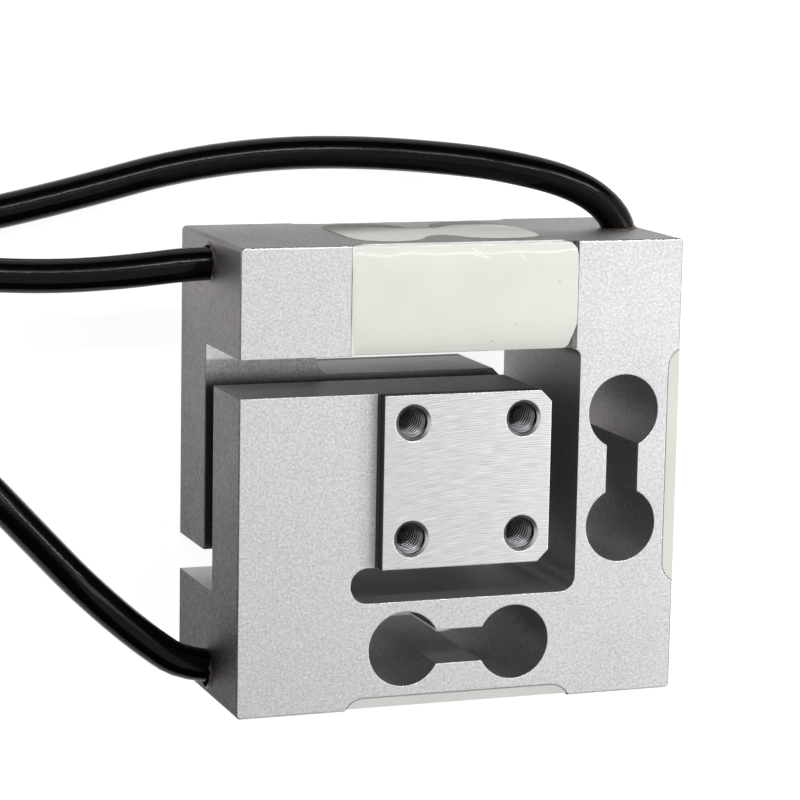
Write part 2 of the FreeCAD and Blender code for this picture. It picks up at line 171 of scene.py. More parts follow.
def body_masks(material):
    """Masks of the body's finishes by name, with the fields of place and direction that they come from."""
    place = add(material, "ShaderNodeTexCoord").outputs["Object"]
    where = add(material, "ShaderNodeSeparateXYZ", links={0: place}).outputs
    normal = add(material, "ShaderNodeNewGeometry").outputs["True Normal"]
    facing = add(material, "ShaderNodeSeparateXYZ", links={0: normal}).outputs
    rounded = add(material, "ShaderNodeBevel", {"samples": 4, "Radius": rim_r * MM}).outputs["Normal"]
    body = {"place": place, "x": where["X"], "y": where["Y"], "z": where["Z"], "rounded": rounded}
    body["away"] = from_middle(material, where)
    body["from_axis"] = from_hole_axis(material, where)
    for name, source in (
        ("flat", facing["Z"]),
        ("sideways", facing["X"]),
        ("across", where["X"]),
        ("upward", where["Y"]),
    ):
        body[name] = add(material, "ShaderNodeMath", {"operation": "ABSOLUTE"}, {0: source}).outputs[0]
    body["widest"] = add(
        material, "ShaderNodeMath", {"operation": "MAXIMUM"}, {0: body["across"], 1: body["upward"]}
    ).outputs[0]

    for name, test, field, limit in (
        ("outer", "GREATER_THAN", "away", outer_from),
        ("on_pad_wall", "GREATER_THAN", "away", pad_wall_from),
        ("on_pad", "GREATER_THAN", "away", pad_from),
        ("in_hole", "LESS_THAN", "from_axis", hole_within),
        ("in_mouth", "LESS_THAN", "from_axis", mouth_within),
        ("by_column", "GREATER_THAN", "x", column_from),
        ("by_beam", "LESS_THAN", "y", beam_below),
        ("ahead", "GREATER_THAN", "z", middle_z),
        ("inside", "LESS_THAN", "widest", sides_within),
        ("on_end", "GREATER_THAN", "across", end_from),
        ("on_plate", "LESS_THAN", "upward", plate_edge),
    ):
        body[name] = add(
            material, "ShaderNodeMath", {"operation": test, 1: limit * MM}, {0: body[field]}
        ).outputs[0]
    for name, field, settings in (
        ("level", "flat", {"operation": "GREATER_THAN", 1: level_share}),
        ("broken", "flat", {"operation": "COMPARE", 1: broken_share, 2: broken_slack}),
        ("on_foot", "x", {"operation": "COMPARE", 1: -plate_edge * MM, 2: foot_w * MM}),
    ):
        body[name] = add(material, "ShaderNodeMath", settings, {0: body[field]}).outputs[0]
    for name, mask in (("off_end", "on_end"), ("off_foot", "on_foot")):
        body[name] = add(
            material, "ShaderNodeMath", {"operation": "SUBTRACT", 0: 1.0}, {1: body[mask]}
        ).outputs[0]

    # masks with soft edges
    body["turn"] = add(
        material, "ShaderNodeVectorMath", {"operation": "DOT_PRODUCT"}, {0: rounded, 1: normal}
    ).outputs["Value"]
    for name, field, settings in (
        ("bridge_lit", "x", {"From Min": bridge_light_fade[0] * MM, "From Max": bridge_light_fade[1] * MM}),
        ("strip_unshaded", "upward", {"From Min": strip_shade_fade[0] * MM, "From Max": strip_shade_fade[1] * MM}),
        ("clear", "upward", {"From Min": strip_light_fade[0] * MM, "From Max": strip_light_fade[1] * MM}),
        ("rim", "turn", {"From Min": rim_turn[0], "From Max": rim_turn[1], "To Min": 1.0, "To Max": 0.0}),
        ("bareness", "in_mouth", {"To Min": 1.0, "To Max": mouth_bareness}),
    ):
        body[name] = add(material, "ShaderNodeMapRange", settings, {"Value": body[field]}).outputs[0]

    for name, operation, first, second in (
        ("face", "MULTIPLY", "level", "outer"),
        ("cut", "MAXIMUM", "by_column", "by_beam"),
        ("bridge_lit", "MULTIPLY", "bridge_lit", "ahead"),
        ("cut", "MAXIMUM", "cut", "bridge_lit"),
        ("cut", "MULTIPLY", "cut", "inside"),
        ("end_line", "MULTIPLY", "on_end", "level"),
        ("foot_shadow_line", "MULTIPLY", "on_foot", "on_plate"),
        ("foot_shadow_line", "MULTIPLY", "foot_shadow_line", "face"),
        ("broken", "MULTIPLY", "broken", "outer"),
        ("broken", "MULTIPLY", "broken", "off_end"),
        ("rim", "MULTIPLY", "rim", "off_foot"),
        ("rim", "MULTIPLY", "rim", "off_end"),
        ("rim", "MULTIPLY", "rim", "face"),
        ("bare", "MAXIMUM", "rim", "broken"),
        ("bare", "MULTIPLY", "bare", "bareness"),
    ):
        body[name] = add(
            material, "ShaderNodeMath", {"operation": operation}, {0: body[first], 1: body[second]}
        ).outputs[0]
    return body


sweep_centre = (9.0, -130.0)  # of the milling cutter's wide arcs, far below the pad
sweep_pitch = 0.30
streak_w = 0.17
streak_stretch = 0.05
wave_share = 0.13


def milled_lines(material, body):
    """The cutter's lines on the pads: even arcs, roughened by streaks that run along them."""
    spread = add(
        material, "ShaderNodeVectorMath", {"operation": "MULTIPLY", 1: (1.0, 1.0, 0.0)}, {0: body["place"]}
    ).outputs[0]
    centre = (sweep_centre[0] * MM, sweep_centre[1] * MM, 0.0)
    radius = add(
        material, "ShaderNodeVectorMath", {"operation": "DISTANCE", 1: centre}, {0: spread}
    ).outputs["Value"]
    along = add(
        material, "ShaderNodeMath", {"operation": "MULTIPLY", 1: streak_stretch}, {0: body["x"]}
    ).outputs[0]
    track = add(material, "ShaderNodeCombineXYZ", links={"X": radius, "Y": along}).outputs[0]
    streaks = add(
        material,
        "ShaderNodeTexNoise",
        {"Scale": per_mm(streak_w), "Detail": 2.0, "Roughness": 0.7},
        {"Vector": track},
    ).outputs["Fac"]
    turns = add(
        material, "ShaderNodeMath", {"operation": "MULTIPLY", 1: per_mm(sweep_pitch) * math.tau}, {0: radius}
    ).outputs[0]
    wave = add(material, "ShaderNodeMath", {"operation": "SINE"}, {0: turns}).outputs[0]
    return add(
        material, "ShaderNodeMath", {"operation": "MULTIPLY_ADD", 1: wave_share}, {0: wave, 2: streaks}
    ).outputs[0]


# plain tones: the dark ones are painted shade on pad walls, bore walls and the block's ends, and painted
# shadow between the plates and along the foot of each pad
plain_tones = {
    "cutter_skin": "#474545",
    "oily_hole": "#232224",
    "shielded": "#3A3938",
    "handled_end": "#8A8888",
    "cutter_corner": "#4F4E4E",
    "bare_metal": "#E4E3E6",
}
blasted_rough, milled_rough, bare_rough = (0.42, 0.58), 0.34, 0.22
pit_depth, groove_depth = 0.014, 0.008
pit_w = 0.30  # real pits are about a third as wide, and are drawn this coarse to show
saw_w = 0.42
cloud_w = 14.0
height_shade_slope = 0.0095  # change of painted shade for each millimetre up


def blasted_aluminium():
    """Bead-blasted aluminium: an even silver grain of fine pits on the front and rear, plainer sides darker
    partly by their finish and partly by painted shade, slots and lobes made paler by painted light, painted
    shade and shadow on pad walls, bores, the block's ends and between the plates, bright rims where deburring
    bared the metal, and pads milled to fine lines."""
    material, shader = new_material("blasted_aluminium", {"Metallic": 1.0})
    body = body_masks(material)
    patterns = {"lines": milled_lines(material, body)}
    for name, settings in (
        ("grain", {"Scale": per_mm(pit_w), "Detail": 5.0, "Roughness": 0.75}),
        ("cloud", {"Scale": per_mm(cloud_w), "Detail": 2.0}),
        ("marks", {"Scale": per_mm(saw_w), "Detail": 3.0, "Roughness": 0.7}),
    ):
        texture = add(material, "ShaderNodeTexNoise", settings, {"Vector": body["place"]})
        patterns[name] = texture.outputs["Fac"]
    # the sides keep coarser marks of the saw, and painted shade makes the end sides darker towards the bottom
    patterns["marks_and_height_shade"] = add(
        material,
        "ShaderNodeMath",
        {"operation": "MULTIPLY_ADD", 1: height_shade_slope / MM},
        {0: body["y"], 2: patterns["marks"]},
    ).outputs[0]

    # dark and light of the pattern on each kind of face, and the share of the pattern over which they run
    tones = {}
    for kind, pattern, low, high, dark, light in (
        # sides are darker than the front partly by their sawn finish and partly by painted shade; end sides
        # are darker still by painted shade, slot and lobe walls paler by painted light, and the two strip
        # tones are painted shade and painted light
        ("side", "marks", 0.2, 0.8, "#676563", "#A7A4A2"),
        ("shaded_end_side", "marks_and_height_shade", 0.2, 0.8, "#3A3837", "#8D8A88"),
        ("slot_wall", "marks", 0.2, 0.8, "#93908E", "#CCC9C7"),
        ("slot_end", "marks", 0.2, 0.8, "#7C7977", "#B5B2B0"),
        ("blasted", "grain", 0.32, 0.68, "#9A999A", "#C7C6C7"),
        ("shaded_strip_tone", "grain", 0.32, 0.68, "#858485", "#B8B7B8"),
        ("lit_strip_tone", "grain", 0.32, 0.68, "#C6C4C7", "#EAE8EB"),
        ("milled", "lines", 0.25, 0.75, "#A3A2A3", "#C6C5C6"),
    ):
        ramp = add(material, "ShaderNodeValToRGB", links={"Fac": patterns[pattern]})
        for element, position, hex_colour in zip(ramp.color_ramp.elements, (low, high), (dark, light)):
            element.position = position
            element.color = linear(hex_colour)
        tones[kind] = ramp.outputs["Color"]

    # each tone lies over another where its mask says. Sides that face along the plates are darkened by
    # painted shade, and slots and lobes are made paler by painted light. The walls of the pads and of the
    # bores are painted dark as shade, level faces between the plates carry a painted shadow, and a strip by
    # the edge of the other plate runs from painted shade to painted light. A dull line of painted shade runs
    # along the block's ends, and a dark line of painted shadow along the foot of each pad
    for name, mask, under, over in (
        ("sides", "sideways", "side", "shaded_end_side"),
        ("slots", "sideways", "slot_wall", "slot_end"),
        ("sides", "cut", "sides", "slots"),
        ("sides", "on_pad_wall", "sides", "cutter_skin"),
        ("sides", "in_hole", "sides", "oily_hole"),
        ("strip_light_and_shade", "clear", "shaded_strip_tone", "lit_strip_tone"),
        ("faces", "strip_unshaded", "shielded", "strip_light_and_shade"),
        ("faces", "outer", "faces", "blasted"),
        ("finish", "level", "sides", "faces"),
        ("finish", "end_line", "finish", "handled_end"),
        ("finish", "foot_shadow_line", "finish", "cutter_corner"),
        ("finish", "on_pad", "finish", "milled"),
        ("finish", "bare", "finish", "bare_metal"),
    ):
        settings = {"data_type": "RGBA"}
        links = {"Factor": body[mask]}
        for socket, tone in ((6, under), (7, over)):
            if tone in plain_tones:
                settings[socket] = linear(plain_tones[tone])
            else:
                links[socket] = tones[tone]
        tones[name] = add(material, "ShaderNodeMix", settings, links).outputs[2]
    link(material, tones["finish"], shader, "Base Color")

    rough = add(
        material,
        "ShaderNodeMapRange",
        {"To Min": blasted_rough[0], "To Max": blasted_rough[1]},
        {"Value": patterns["cloud"]},
    ).outputs[0]
    for mask, value in (("on_pad", milled_rough), ("bare", bare_rough)):
        rough = add(material, "ShaderNodeMix", {"B": value}, {"Factor": body[mask], "A": rough}).outputs[0]
    link(material, rough, shader, "Roughness")

    relief = {"Factor": body["on_pad"]}
    for socket, pattern, depth in (("A", "grain", pit_depth), ("B", "lines", groove_depth)):
        relief[socket] = add(
            material, "ShaderNodeMath", {"operation": "MULTIPLY", 1: depth * MM}, {0: patterns[pattern]}
        ).outputs[0]
    relief = add(material, "ShaderNodeMix", links=relief).outputs[0]
    bump = add(
        material,
        "ShaderNodeBump",
        {"Distance": 1.0, "Strength": 1.0},
        {"Height": relief, "Normal": body["rounded"]},
    )
    link(material, bump.outputs["Normal"], shader, "Normal")
    return material


lit_turns = (12.6, 14.5)  # from the middle plane: painted light makes the first turns paler than the deep ones, which keep painted shade


def cut_thread():
    """Tapped aluminium: bright worn crests over flanks and roots painted dark with the shade of the bore,
    paler by the hole's mouth by painted light.
    """
    material, shader = new_material("cut_thread_aluminium", {"Metallic": 1.0, "Roughness": 0.32})
    place = add(material, "ShaderNodeTexCoord").outputs["Object"]
    where = add(material, "ShaderNodeSeparateXYZ", links={0: place}).outputs
    streaks = add(
        material, "ShaderNodeTexNoise", {"Scale": per_mm(0.5), "Detail": 3.0}, {"Vector": place}
    ).outputs["Fac"]
    shaded_flanks = add(material, "ShaderNodeValToRGB", links={"Fac": streaks})
    shaded_flanks.color_ramp.elements[0].color = linear("#1C1B1D")
    shaded_flanks.color_ramp.elements[1].color = linear("#343336")
    by_mouth = add(
        material,
        "ShaderNodeMapRange",
        {"From Min": lit_turns[0] * MM, "From Max": lit_turns[1] * MM},
        {"Value": from_middle(material, where)},
    ).outputs[0]
    on_crest = add(
        material,
        "ShaderNodeMath",
        {"operation": "LESS_THAN", 1: crest_within * MM},
        {0: from_hole_axis(material, where)},
    ).outputs[0]
    tone = shaded_flanks.outputs["Color"]
    for mask, hex_colour in ((by_mouth, "#7E7D80"), (on_crest, "#C2C1C5")):
        tone = add(
            material, "ShaderNodeMix", {"data_type": "RGBA", 7: linear(hex_colour)}, {"Factor": mask, 6: tone}
        ).outputs[2]
    link(material, tone, shader, "Base Color")
    return material


# Scratches on the front potting, from and to in X and Y
scratches = (((0.6, 29.4), (3.1, 27.9)), ((1.0, 28.5), (2.6, 28.05)), ((7.2, 28.5), (8.0, 27.6)))
scratch_half = 0.06


def on_scratch(material, place, start, end):
    """1 on the scratch between two points, 0 beside it."""
    run = Vector(end) - Vector(start)
    way = run.normalized()
    half_run = run.length / 2 * MM
    origin = (*(Vector(start) * MM), 0.0)
    shifted = add(
        material, "ShaderNodeVectorMath", {"operation": "SUBTRACT", 1: origin}, {0: place}
    ).outputs[0]
    shares = {}
    for socket, axis, centre, reach in (
        (0, (way.x, way.y, 0.0), half_run, half_run),
        (1, (-way.y, way.x, 0.0), 0.0, scratch_half * MM),
    ):
        off = add(
            material, "ShaderNodeVectorMath", {"operation": "DOT_PRODUCT", 1: axis}, {0: shifted}
        ).outputs["Value"]
        shares[socket] = add(
            material, "ShaderNodeMath", {"operation": "COMPARE", 1: centre, 2: reach}, {0: off}
        ).outputs[0]
    return add(material, "ShaderNodeMath", {"operation": "MULTIPLY"}, shares).outputs[0]


rear_shade_slope = 0.33  # painted shade greys the wiped film towards the rear, and more so on its left
rear_shade_fade = (6.0, 13.0)
speck_gap, speck_edge = 2.2, (0.03, 0.06)  # distance between dust specks, and the share that each covers


def cast_potting(name, dull, clean, rear_shade=None, roughness=0.10, gloss=0.5):
    """Cast white compound: a smooth glossy skin with faint cloudy yellowing, a few dust specks and fine
    scratches; where a shade colour is given, painted shade greys it towards one side."""
    material, shader = new_material(name, {"Roughness": roughness, "IOR": 1.45, "Specular IOR Level": gloss})
    place = add(material, "ShaderNodeTexCoord").outputs["Object"]
    where = add(material, "ShaderNodeSeparateXYZ", links={0: place}).outputs
    cloud = add(
        material, "ShaderNodeTexNoise", {"Scale": per_mm(9.0), "Detail": 3.0}, {"Vector": place}
    ).outputs["Fac"]
    tone = add(material, "ShaderNodeValToRGB", links={"Fac": cloud})
    for element, position, hex_colour in zip(tone.color_ramp.elements, (0.3, 0.7), (dull, clean)):
        element.position = position
        element.color = linear(hex_colour)
    colour = tone.outputs["Color"]
    if rear_shade:
        slope = add(
            material,
            "ShaderNodeMath",
            {"operation": "MULTIPLY_ADD", 1: rear_shade_slope},
            {0: where["X"], 2: where["Z"]},
        ).outputs[0]
        out_of_rear_shade = add(
            material,
            "ShaderNodeMapRange",
            {"From Min": rear_shade_fade[0] * MM, "From Max": rear_shade_fade[1] * MM},
            {"Value": slope},
        ).outputs[0]
        colour = add(
            material, "ShaderNodeMix", {"data_type": "RGBA", 6: linear(rear_shade)}, {"Factor": out_of_rear_shade, 7: colour}
        ).outputs[2]
    specks = add(
        material, "ShaderNodeTexVoronoi", {"Scale": per_mm(speck_gap), "Randomness": 1.0}, {"Vector": place}
    ).outputs["Distance"]
    dusty = add(
        material,
        "ShaderNodeMapRange",
        {"From Min": speck_edge[0], "From Max": speck_edge[1]},
        {"Value": specks},
    ).outputs[0]
    colour = add(
        material, "ShaderNodeMix", {"data_type": "RGBA", 6: linear("#A8A296")}, {"Factor": dusty, 7: colour}
    ).outputs[2]
    for start, end in scratches:
        scratched = on_scratch(material, place, start, end)
        colour = add(
            material,
            "ShaderNodeMix",
            {"data_type": "RGBA", 7: linear("#FDFDFB")},
            {"Factor": scratched, 6: colour},
        ).outputs[2]
    link(material, colour, shader, "Base Color")
    wave = add(
        material, "ShaderNodeTexNoise", {"Scale": per_mm(3.0), "Detail": 2.0}, {"Vector": place}
    ).outputs["Fac"]
    bump = add(material, "ShaderNodeBump", {"Distance": 0.012 * MM, "Strength": 1.0}, {"Height": wave})
    link(material, bump.outputs["Normal"], shader, "Normal")
    return material


skin_tones, skin_rough = (0.75, 1.2), (-0.07, 0.1)  # range of tone and of roughness over the skin


def extruded_pvc(name, hex_colour, roughness, gloss=0.4):
    """Extruded PVC: smooth and slightly uneven, with a soft sheen."""
    material, shader = new_material(name, {"Specular IOR Level": gloss})
    place = add(material, "ShaderNodeTexCoord").outputs["Object"]
    skin = add(
        material,
        "ShaderNodeTexNoise",
        {"Scale": per_mm(1.4), "Detail": 5.0, "Roughness": 0.65},
        {"Vector": place},
    ).outputs["Fac"]
    tone = add(material, "ShaderNodeValToRGB", links={"Fac": skin})
    for element, share in zip(tone.color_ramp.elements, skin_tones):
        element.color = [min(1.0, share * c) for c in linear(hex_colour)[:3]] + [1.0]
    link(material, tone.outputs["Color"], shader, "Base Color")
    rough = add(
        material,
        "ShaderNodeMapRange",
        {"To Min": roughness + skin_rough[0], "To Max": roughness + skin_rough[1]},
        {"Value": skin},
    ).outputs[0]
    link(material, rough, shader, "Roughness")
    bump = add(material, "ShaderNodeBump", {"Distance": 0.03 * MM, "Strength": 1.0}, {"Height": skin})
    link(material, bump.outputs["Normal"], shader, "Normal")
    return material


def mottled(name, dark, light, grain_mm, settings):
    """A plain stock with the fine mottling of its making."""
    material, shader = new_material(name, settings)
    place = add(material, "ShaderNodeTexCoord").outputs["Object"]
    grain = add(
        material, "ShaderNodeTexNoise", {"Scale": per_mm(grain_mm), "Detail": 3.0}, {"Vector": place}
    ).outputs["Fac"]
    tone = add(material, "ShaderNodeValToRGB", links={"Fac": grain})
    tone.color_ramp.elements[0].color = linear(dark)
    tone.color_ramp.elements[1].color = linear(light)
    link(material, tone.outputs["Color"], shader, "Base Color")
    bump = add(material, "ShaderNodeBump", {"Distance": 0.02 * MM, "Strength": 1.0}, {"Height": grain})
    link(material, bump.outputs["Normal"], shader, "Normal")
    return material


aluminium = blasted_aluminium()
thread_metal = cut_thread()
# the compound is white and glossy where it was poured, greyer where it was trimmed or handled, and matt
# where it was wiped thin over the metal; its grey in the top beam's lobes and towards the film's rear is
# painted shade
potting = cast_potting("cast_white_compound", "#E4E4DC", "#EAEAE3")
trimmed_potting = cast_potting("trimmed_white_compound", "#DDDCD4", "#E4E3DC")
handled_potting = cast_potting("handled_white_compound", "#CDCDC8", "#D5D5D1")
shaded_potting = cast_potting("shaded_white_compound", "#8E8D8A", "#A09F9B", None, 0.6, 0.05)
wiped_potting = cast_potting("wiped_white_compound", "#EFEEE7", "#F4F3EE", "#A3A29F", 0.6, 0.05)
jacket = extruded_pvc("extruded_black_pvc", "#060607", 0.13, 0.12)
# cured adhesive is a dark amber with a wet gloss; gauge film, board and wires are orange, green and copper
adhesive = mottled("cured_brown_adhesive", "#1E130C", "#3F2917", 0.8, {"Roughness": 0.35})
foil = mottled("polyimide_gauge_foil", "#8A4F16", "#B87428", 0.6, {"Roughness": 0.3})
laminate = mottled("solder_masked_laminate", "#123A22", "#1D5231", 0.5, {"Roughness": 0.4})
copper = mottled("enamelled_copper_ribbon", "#9A4E26", "#C06A38", 0.4, {"Metallic": 1.0, "Roughness": 0.3})
cores = extruded_pvc("extruded_core_insulation", "#C9C7C0", 0.4)
# moulded nylon has a satin black skin, and tinned strands a pale grey shine
nylon = mottled("moulded_black_nylon", "#101011", "#1B1B1D", 0.5, {"Roughness": 0.45})
tinned = mottled("tinned_copper_strands", "#A6A49E", "#D0CFCA", 0.25, {"Metallic": 1.0, "Roughness": 0.35})
lead_insulation = {
    "red": extruded_pvc("extruded_red_pvc", "#B0201C", 0.35),
    "black": extruded_pvc("extruded_lead_black_pvc", "#141415", 0.35),
    "green": extruded_pvc("extruded_green_pvc", "#1F7A3A", 0.35),
    "white": extruded_pvc("extruded_white_pvc", "#E2E1DC", 0.35),
}
node_materials = {
    "spring_body": aluminium,
    "potting_": trimmed_potting,
    "potting_top": shaded_potting,
    "potting_bottom": handled_potting,
    "gauge_": foil,
    "terminal_board_": laminate,
    "bridge_wires_": copper,
    "signal_wires_": cores,
    "cable_seal_": adhesive,
    "cable_": jacket,
    "coil_tie_": nylon,
    "lead_tips_": tinned,
}


def material_of(name):
    """Material of a node: a lead's by its colour, any other's by the longest start of its name."""
    if name.startswith("lead_") and not name.startswith("lead_tips_"):
        return lead_insulation[name.rsplit("_", 1)[1]]
    start = max((key for key in node_materials if name.startswith(key)), key=len)
    return node_materials[start]


for name, node in nodes.items():
    node.data.materials.clear()
    node.data.materials.append(material_of(name))


# Cables: each route's points, then its coil's turns and its tail, in one smooth line

cable_routes = {
    "top": [
        (-21.0, 26.7, 15.0),
        (-31.5, 26.7, 15.0),
        (-40.5, 25.7, 14.7),
        (-49.5, 25.2, 13.9),
        (-58.5, 25.5, 13.1),
        (-68.0, 26.3, 12.4),
        (-79.5, 26.2, 12.0),
        (-91.8, 24.3, 11.8),
    ],
    "column": [
        (26.7, 21.0, 15.0),
        (26.8, 24.8, 15.0),
        (27.1, 28.3, 15.0),
        (26.1, 31.6, 15.0),
        (22.8, 34.6, 14.7),
        (18.6, 36.5, 13.7),
        (13.8, 37.7, 11.8),
        (8.5, 38.6, 8.6),
        (-4.0, 39.5, 4.0),
        (-17.5, 39.5, 2.4),
        (-31.0, 37.9, 2.2),
        (-43.5, 34.7, 2.2),
        (-56.5, 31.8, 2.3),
        (-69.5, 29.8, 2.6),
        (-82.0, 28.0, 3.0),
        (-94.8, 25.0, 3.3),
    ],
    "bottom": [
        (-21.0, -26.7, 15.0),
        (-32.0, -26.7, 15.0),
        (-38.5, -22.1, 14.6),
        (-46.4, -14.9, 14.6),
        (-53.3, -7.5, 17.2),
        (-60.1, -0.2, 20.2),
        (-66.9, 6.9, 20.8),
    ],
}
cable_exits = {"top": (-30.0, 26.7, 15.0), "column": (26.7, 30.0, 15.0), "bottom": (-30.0, -26.7, 15.0)}
coil_enters = {"top": 75.0, "column": 80.0, "bottom": 22.0}  # degrees round the coil
tail_starts = {"top": 111.0, "column": 164.0, "bottom": 58.0}
coil_turns = {"top": 8, "column": 7, "bottom": 8}
# steps of a tail: out from the coil, degrees round it, and share of the fall
tail_steps = ((-1.5, 0.0, 0.0), (4.8, 13.0, 0.12), (6.8, 26.0, 0.6), (7.5, 38.0, 1.0))
tail_fall = 5.5
step_degrees = 20.0
level_rise = 90.0  # degrees over which a coil climbs to its upper level


def coil_point(radius, degrees, z):
    """A point round the middle of the coils."""
    angle = math.radians(degrees)
    return (coil_centre[0] + radius * math.cos(angle), coil_centre[1] + radius * math.sin(angle), z)


def coil_points(name):
    """Turns of one coil: inwards on the lower level, up at its middle, and outwards on the upper level."""
    start = coil_enters[name]
    sweep = tail_starts[name] - start + 360.0 * coil_turns[name]
    low = coil_base[name] + cable_d / 2
    count = round(sweep / step_degrees)
    points = []
    for k in range(1, count):
        on = sweep * k / count
        to_middle = min(on, sweep - on)
        radius = (coil_r - cable_d * to_middle / 360.0) / math.cos(math.radians(step_degrees / 2))
        rise = min(1.0, max(0.0, (on - sweep / 2) / level_rise + 0.5))
        points.append(coil_point(radius, start + on, low + cable_d * rise))
    return points


def tail_points(name):
    """The free end of one cable, which leaves the coil and falls towards the floor."""
    z = coil_base[name] + 1.5 * cable_d
    fall = min(tail_fall, z - cable_d / 2)
    start = tail_starts[name]
    return [coil_point(coil_r + out, start + on, z - fall * share) for out, on, share in tail_steps]


def make_cable(name):
    points = cable_routes[name] + coil_points(name) + tail_points(name)
    curve = bpy.data.curves.new(f"signal_cable_{name}", "CURVE")
    curve.dimensions = "3D"
    curve.bevel_depth = cable_d / 2 * MM
    curve.bevel_resolution = 5
    curve.use_fill_caps = True
    spline = curve.splines.new("NURBS")
    spline.points.add(len(points) - 1)
    for point, place in zip(spline.points, points):
        point.co = (*(Vector(place) * MM), 1.0)
    spline.order_u = 3
    spline.use_endpoint_u = True
    spline.resolution_u = 6
    curve.materials.append(jacket)
    piece = bpy.data.objects.new(f"signal_cable_{name}", curve)
    scene.collection.objects.link(piece)
    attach(piece, "root")
    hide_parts(f"cable_{name}", f"cable_coil_{name}", f"cable_tail_{name}")


for name in cable_routes:
    make_cable(name)


# Pieces of the sensor that are finer than the solid model

sharp_from = math.radians(40)


def make_piece(name, points, faces, material, stands_for=()):
    """A closed mesh in millimetres, smooth over its rounded parts."""
    mesh = bpy.data.meshes.new(name)
    mesh.from_pydata([Vector(p) * MM for p in points], [], faces)
    shape = bmesh.new()
    shape.from_mesh(mesh)
    bmesh.ops.recalc_face_normals(shape, faces=shape.faces)
    shape.to_mesh(mesh)
    shape.free()
    mesh.shade_smooth()
    mesh.set_sharp_from_angle(angle=sharp_from)
    mesh.materials.append(material)
    piece = bpy.data.objects.new(name, mesh)
    scene.collection.objects.link(piece)
    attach(piece, "root")
    if stands_for:
        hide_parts(*stands_for)


def bridge(faces, first, second):
    """Quads between two closed rows of points, given as their numbers."""
    for k in range(len(first)):
        n = (k + 1) % len(first)
        faces.append((first[k], first[n], second[n], second[k]))


# Threads: one helical ridge in each tapped hole, thinned out at both ends
thread_steps = 30
ridge_half = 0.43 * thread_pitch
crest_half = 0.08 * thread_pitch
thinnest = 0.05


def thread_ridge(points, faces, x, y, side):
    """A right-hand ridge in a hole of the front plate, side 1, or of the rear plate, side -1."""
    count = round((thread_high - thread_low - thread_pitch) / thread_pitch * thread_steps)
    before = None
    for k in range(count + 1):
        angle = side * math.tau * k / thread_steps
        z = thread_low + thread_pitch * (0.5 + k / thread_steps)
        full = max(thinnest, min(1.0, 2 * k / thread_steps, 2 * (count - k) / thread_steps))
        crest = thread_root_r + (thread_crest_r - thread_root_r) * full
        row = []
        profile = (
            (thread_root_r, -ridge_half),
            (crest, -crest_half),
            (crest, crest_half),
            (thread_root_r, ridge_half),
        )
        for radius, step in profile:
            row.append(len(points))
            level = middle_z + side * (z + step * full - middle_z)
            points.append((x + radius * math.cos(angle), y + radius * math.sin(angle), level))
        if before:
            bridge(faces, before, row)
        else:
            faces.append(tuple(row))
        before = row
    faces.append(tuple(before))


thread_points = []
thread_faces = []
for x in (-bolt_pitch / 2, bolt_pitch / 2):
    for y in (-bolt_pitch / 2, bolt_pitch / 2):
        for side in (1, -1):
            thread_ridge(thread_points, thread_faces, x, y, side)
make_piece("tapped_threads", thread_points, thread_faces, thread_metal)


# Cast fills of the front and rear recesses, poured proud and drawn down at their free edges
fill_x = (-15.4, 15.24)
fill_y = (16.0, 30.0)
fill_top = 28.5
fill_sink = 0.03
fill_skin = 0.05  # least thickness over the recess's floor
fill_corner_r = (0.7, 1.1)  # lower and upper corner on the column side
fill_slant = (3.4, 1.0)  # height and width of the slant above the lower corner
fill_opening = (1.6, 0.35)  # height and width of the opening below the upper corner
fill_across = 96
fill_along = 64
lip_r = 0.12
upper_drop, lower_drop, left_drop = (0.5, 3.6), (0.95, 5.0), (0.10, 1.0)  # depth and reach at each free edge
drop_bend = 2.2
# how far the compound wanders and over what length: its surface, its end by the column and its upper edge
ripple, end_wander, edge_wander = (0.04, 3.6), (0.04, 1.5), (0.10, 3.0)


def recess_level(x):
    """Height of the recess's floor under x."""
    over = max(0.0, abs(x) - recess_flat)
    return face_z + recess_lift - math.sqrt(recess_r**2 - over**2)


def drawn(share):
    """Even share from 0 to 1, with the steps drawn together at both ends."""
    return (1 - math.cos(math.pi * share)) / 2


def edge_drop(away, depth, reach):
    """How far the surface falls towards an edge."""
    return depth * max(0.0, 1.0 - away / reach) ** drop_bend


def fill_right(y):
    """Column-side end of the fill, with its two rounded corners."""
    x = fill_x[1] + end_wander[0] * noise.noise(Vector((0.0, y / end_wander[1], 4.0)))
    x -= fill_slant[1] * max(0.0, 1.0 - (y - fill_y[0]) / fill_slant[0])
    x -= fill_opening[1] * max(0.0, 1.0 - (fill_y[1] - y) / fill_opening[0])
    for corner_r, away in zip(fill_corner_r, (y - fill_y[0], fill_y[1] - y)):
        over = min(corner_r, max(0.0, corner_r - away))
        x -= corner_r - math.sqrt(corner_r**2 - over**2)
    return x


def fill_surface(x, y, high_y):
    """Height of the compound, which falls towards its free edges and ripples between them."""
    low_away, high_away = y - fill_y[0], high_y - y
    z = fill_top - fill_sink
    z -= edge_drop(high_away, *upper_drop) + edge_drop(low_away, *lower_drop)
    z -= edge_drop(x - fill_x[0], *left_drop)
    away = max(0.0, min(low_away, high_away))
    if away < lip_r:
        z -= lip_r - math.sqrt(lip_r**2 - (lip_r - away) ** 2)
    z += ripple[0] * noise.noise(Vector((x / ripple[1], y / ripple[1], 1.0)))
    return max(z, recess_level(x) + fill_skin)


